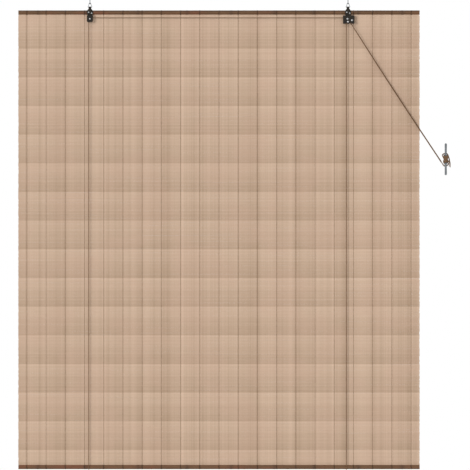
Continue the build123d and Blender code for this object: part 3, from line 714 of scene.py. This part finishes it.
plates = ("pulley_back_plate", "pulley_front_plate", "lock_back_plate", "lock_front_plate")
finishNodes = (
    (blackPaint, plates),
    (brightSteel, ("pulley_axle", "pulley_rivets", "lock_sheave_axle", "lock_guide_axle", "lock_cam_pin",
                   "lock_rivets", "rivet_washers", "cleat_screws")),
    (zincWire, ("screw_hook_left", "screw_hook_right", "hanging_ring_left", "hanging_ring_right",
                "cord_staples")),
    (paleNylon, ("pulley_sheave", "lock_sheave")),
    (turnedBrass, ("lock_guide_roller", "lock_cam")),
    (castGrey, ("cleat",)),
)
for finish, names in finishNodes:
    for name in names:
        nodes[name].data.materials.clear()
        nodes[name].data.materials.append(finish)

edgeLook = {"merge": 1e-6, "plate": 0.00018, "cast": 0.0008, "segments": 2, "angle": 40}
for name in (*plates, "cleat"):
    weld = nodes[name].modifiers.new("weld", "WELD")
    weld.merge_threshold = edgeLook["merge"]
    edge = nodes[name].modifiers.new("edge", "BEVEL")
    edge.width = edgeLook["cast"] if name == "cleat" else edgeLook["plate"]
    edge.segments = edgeLook["segments"]
    edge.limit_method = "ANGLE"
    edge.angle_limit = math.radians(edgeLook["angle"])
print("finishes set")


# Threads of the ceiling hooks and of the cleat's screws: a ridge spun about each axis as it rises
threadLook = {
    "pitch": 0.0017, "ridge": 0.00042, "root": 0.00012, "half": 0.00036, "steps": 14, "point": 0.0046,
    "tip": 0.04, "radius": 0.0019, "merge": 1e-7, "hookX": 0.45, "screwZ": (-0.0075, 0.0075),
    "screwLength": 0.022, "screwStart": 0.001,
}


def spunThread(bm, axis, length, v):
    known = len(bm.verts)
    radius, half = v["radius"], v["half"]
    turns = (length - half) / v["pitch"]
    ends = [bm.verts.new((radius - v["root"], 0, -half)), bm.verts.new((radius + v["ridge"], 0, 0)),
            bm.verts.new((radius - v["root"], 0, half))]
    face = bm.faces.new(ends)
    steps = round(turns * v["steps"])
    bmesh.ops.spin(bm, geom=[face, *face.edges, *ends], cent=(0, 0, 0), axis=(0, 0, 1),
                   dvec=(0, 0, turns * v["pitch"] / steps), angle=math.tau * turns, steps=steps, use_merge=False)
    bm.verts.ensure_lookup_table()
    made = bm.verts[known:]
    for vert in made:  # the ridge closes in over the point and fades at the start
        left = max(v["tip"], min(1.0, (length - vert.co.z) / v["point"]))
        begun = min(1.0, (vert.co.z + half) / v["pitch"])
        out = math.hypot(vert.co.x, vert.co.y)
        size = (min(out, radius) * left + max(0.0, out - radius) * left * begun) / out
        vert.co.x *= size
        vert.co.y *= size
    bmesh.ops.transform(bm, matrix=axis, verts=made)


def makeThreads(name, v, finish):
    bm = bmesh.new()
    for hook in ("screw_hook_left", "screw_hook_right"):
        low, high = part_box(hook)
        spunThread(bm, Matrix.Translation((math.copysign(v["hookX"], low.x), 0, 0.0)), high.z, v)
    low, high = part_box("cleat_screws")
    startY = high.y - v["screwLength"] + v["screwStart"]
    turned = Matrix.Rotation(-math.pi / 2, 4, "X")
    for up in v["screwZ"]:
        moved = Matrix.Translation((cleatMiddle.x, startY, cleatMiddle.z + up))
        spunThread(bm, moved @ turned, v["screwLength"] - v["screwStart"], v)
    bmesh.ops.remove_doubles(bm, verts=bm.verts, dist=v["merge"])
    bmesh.ops.recalc_face_normals(bm, faces=bm.faces)
    place(meshFrom(bm, name), name, "fixings", finish)


makeThreads("screwThreads", threadLook, zincWire)
print("threads made")


# Floor, light and background. The background looks white, and lights the scene less than that
studio = {
    "floor": -2.15, "half": 3.5, "sun": 1.2, "angle": 22.0, "from": (-36.0, 8.0), "ambient": 0.70, "seen": 1.0,
    "dark": (243, 243, 241), "light": (249, 249, 248),
}


def makeFloor(v):
    bm = bmesh.new()
    bmesh.ops.create_grid(bm, x_segments=1, y_segments=1, size=v["half"])
    bmesh.ops.translate(bm, verts=bm.verts, vec=(0, 0, v["floor"]))
    mesh = meshFrom(bm, "floor")
    floor = bpy.data.objects.new("floor", mesh)
    bpy.context.scene.collection.objects.link(floor)
    f = Finish("floorPaint", Roughness=0.8)
    grain = f.grain((3, 3, 3), 2.0)
    mesh.materials.append(f.put(Base_Color=f.mix(grain.over(0.2, 0.8), colour(*v["dark"]), colour(*v["light"]))))


def makeSun(v):
    lamp = bpy.data.lights.new("key", "SUN")
    lamp.energy = v["sun"]
    lamp.angle = math.radians(v["angle"])
    key = bpy.data.objects.new("key", lamp)
    around, up = (math.radians(a) for a in v["from"])
    toward = Vector((-math.sin(around) * math.cos(up), math.cos(around) * math.cos(up), -math.sin(up)))
    key.rotation_mode = "QUATERNION"
    key.rotation_quaternion = toward.to_track_quat("-Z", "Y")
    bpy.context.scene.collection.objects.link(key)


def makeWorld(v):
    world = bpy.data.worlds.new("studio")
    bpy.context.scene.world = world
    world.use_nodes = True
    tree = world.node_tree
    tree.nodes.clear()
    path = tree.nodes.new("ShaderNodeLightPath")
    direct = path.outputs["Is Camera Ray"]
    for ray in ("Is Glossy Ray", "Is Transmission Ray"):
        either = tree.nodes.new("ShaderNodeMath")
        either.operation = "MAXIMUM"
        tree.links.new(direct, either.inputs[0])
        tree.links.new(path.outputs[ray], either.inputs[1])
        direct = either.outputs[0]
    mix = tree.nodes.new("ShaderNodeMixShader")
    tree.links.new(direct, mix.inputs[0])
    for socket, strength in enumerate((v["ambient"], v["seen"]), 1):
        light = tree.nodes.new("ShaderNodeBackground")
        light.inputs["Color"].default_value = (1, 1, 1, 1)
        light.inputs["Strength"].default_value = strength
        tree.links.new(light.outputs[0], mix.inputs[socket])
    out = tree.nodes.new("ShaderNodeOutputWorld")
    tree.links.new(mix.outputs[0], out.inputs["Surface"])


makeFloor(studio)
makeSun(studio)
makeWorld(studio)
bpy.context.scene.view_settings.view_transform = "Standard"
print("studio made")
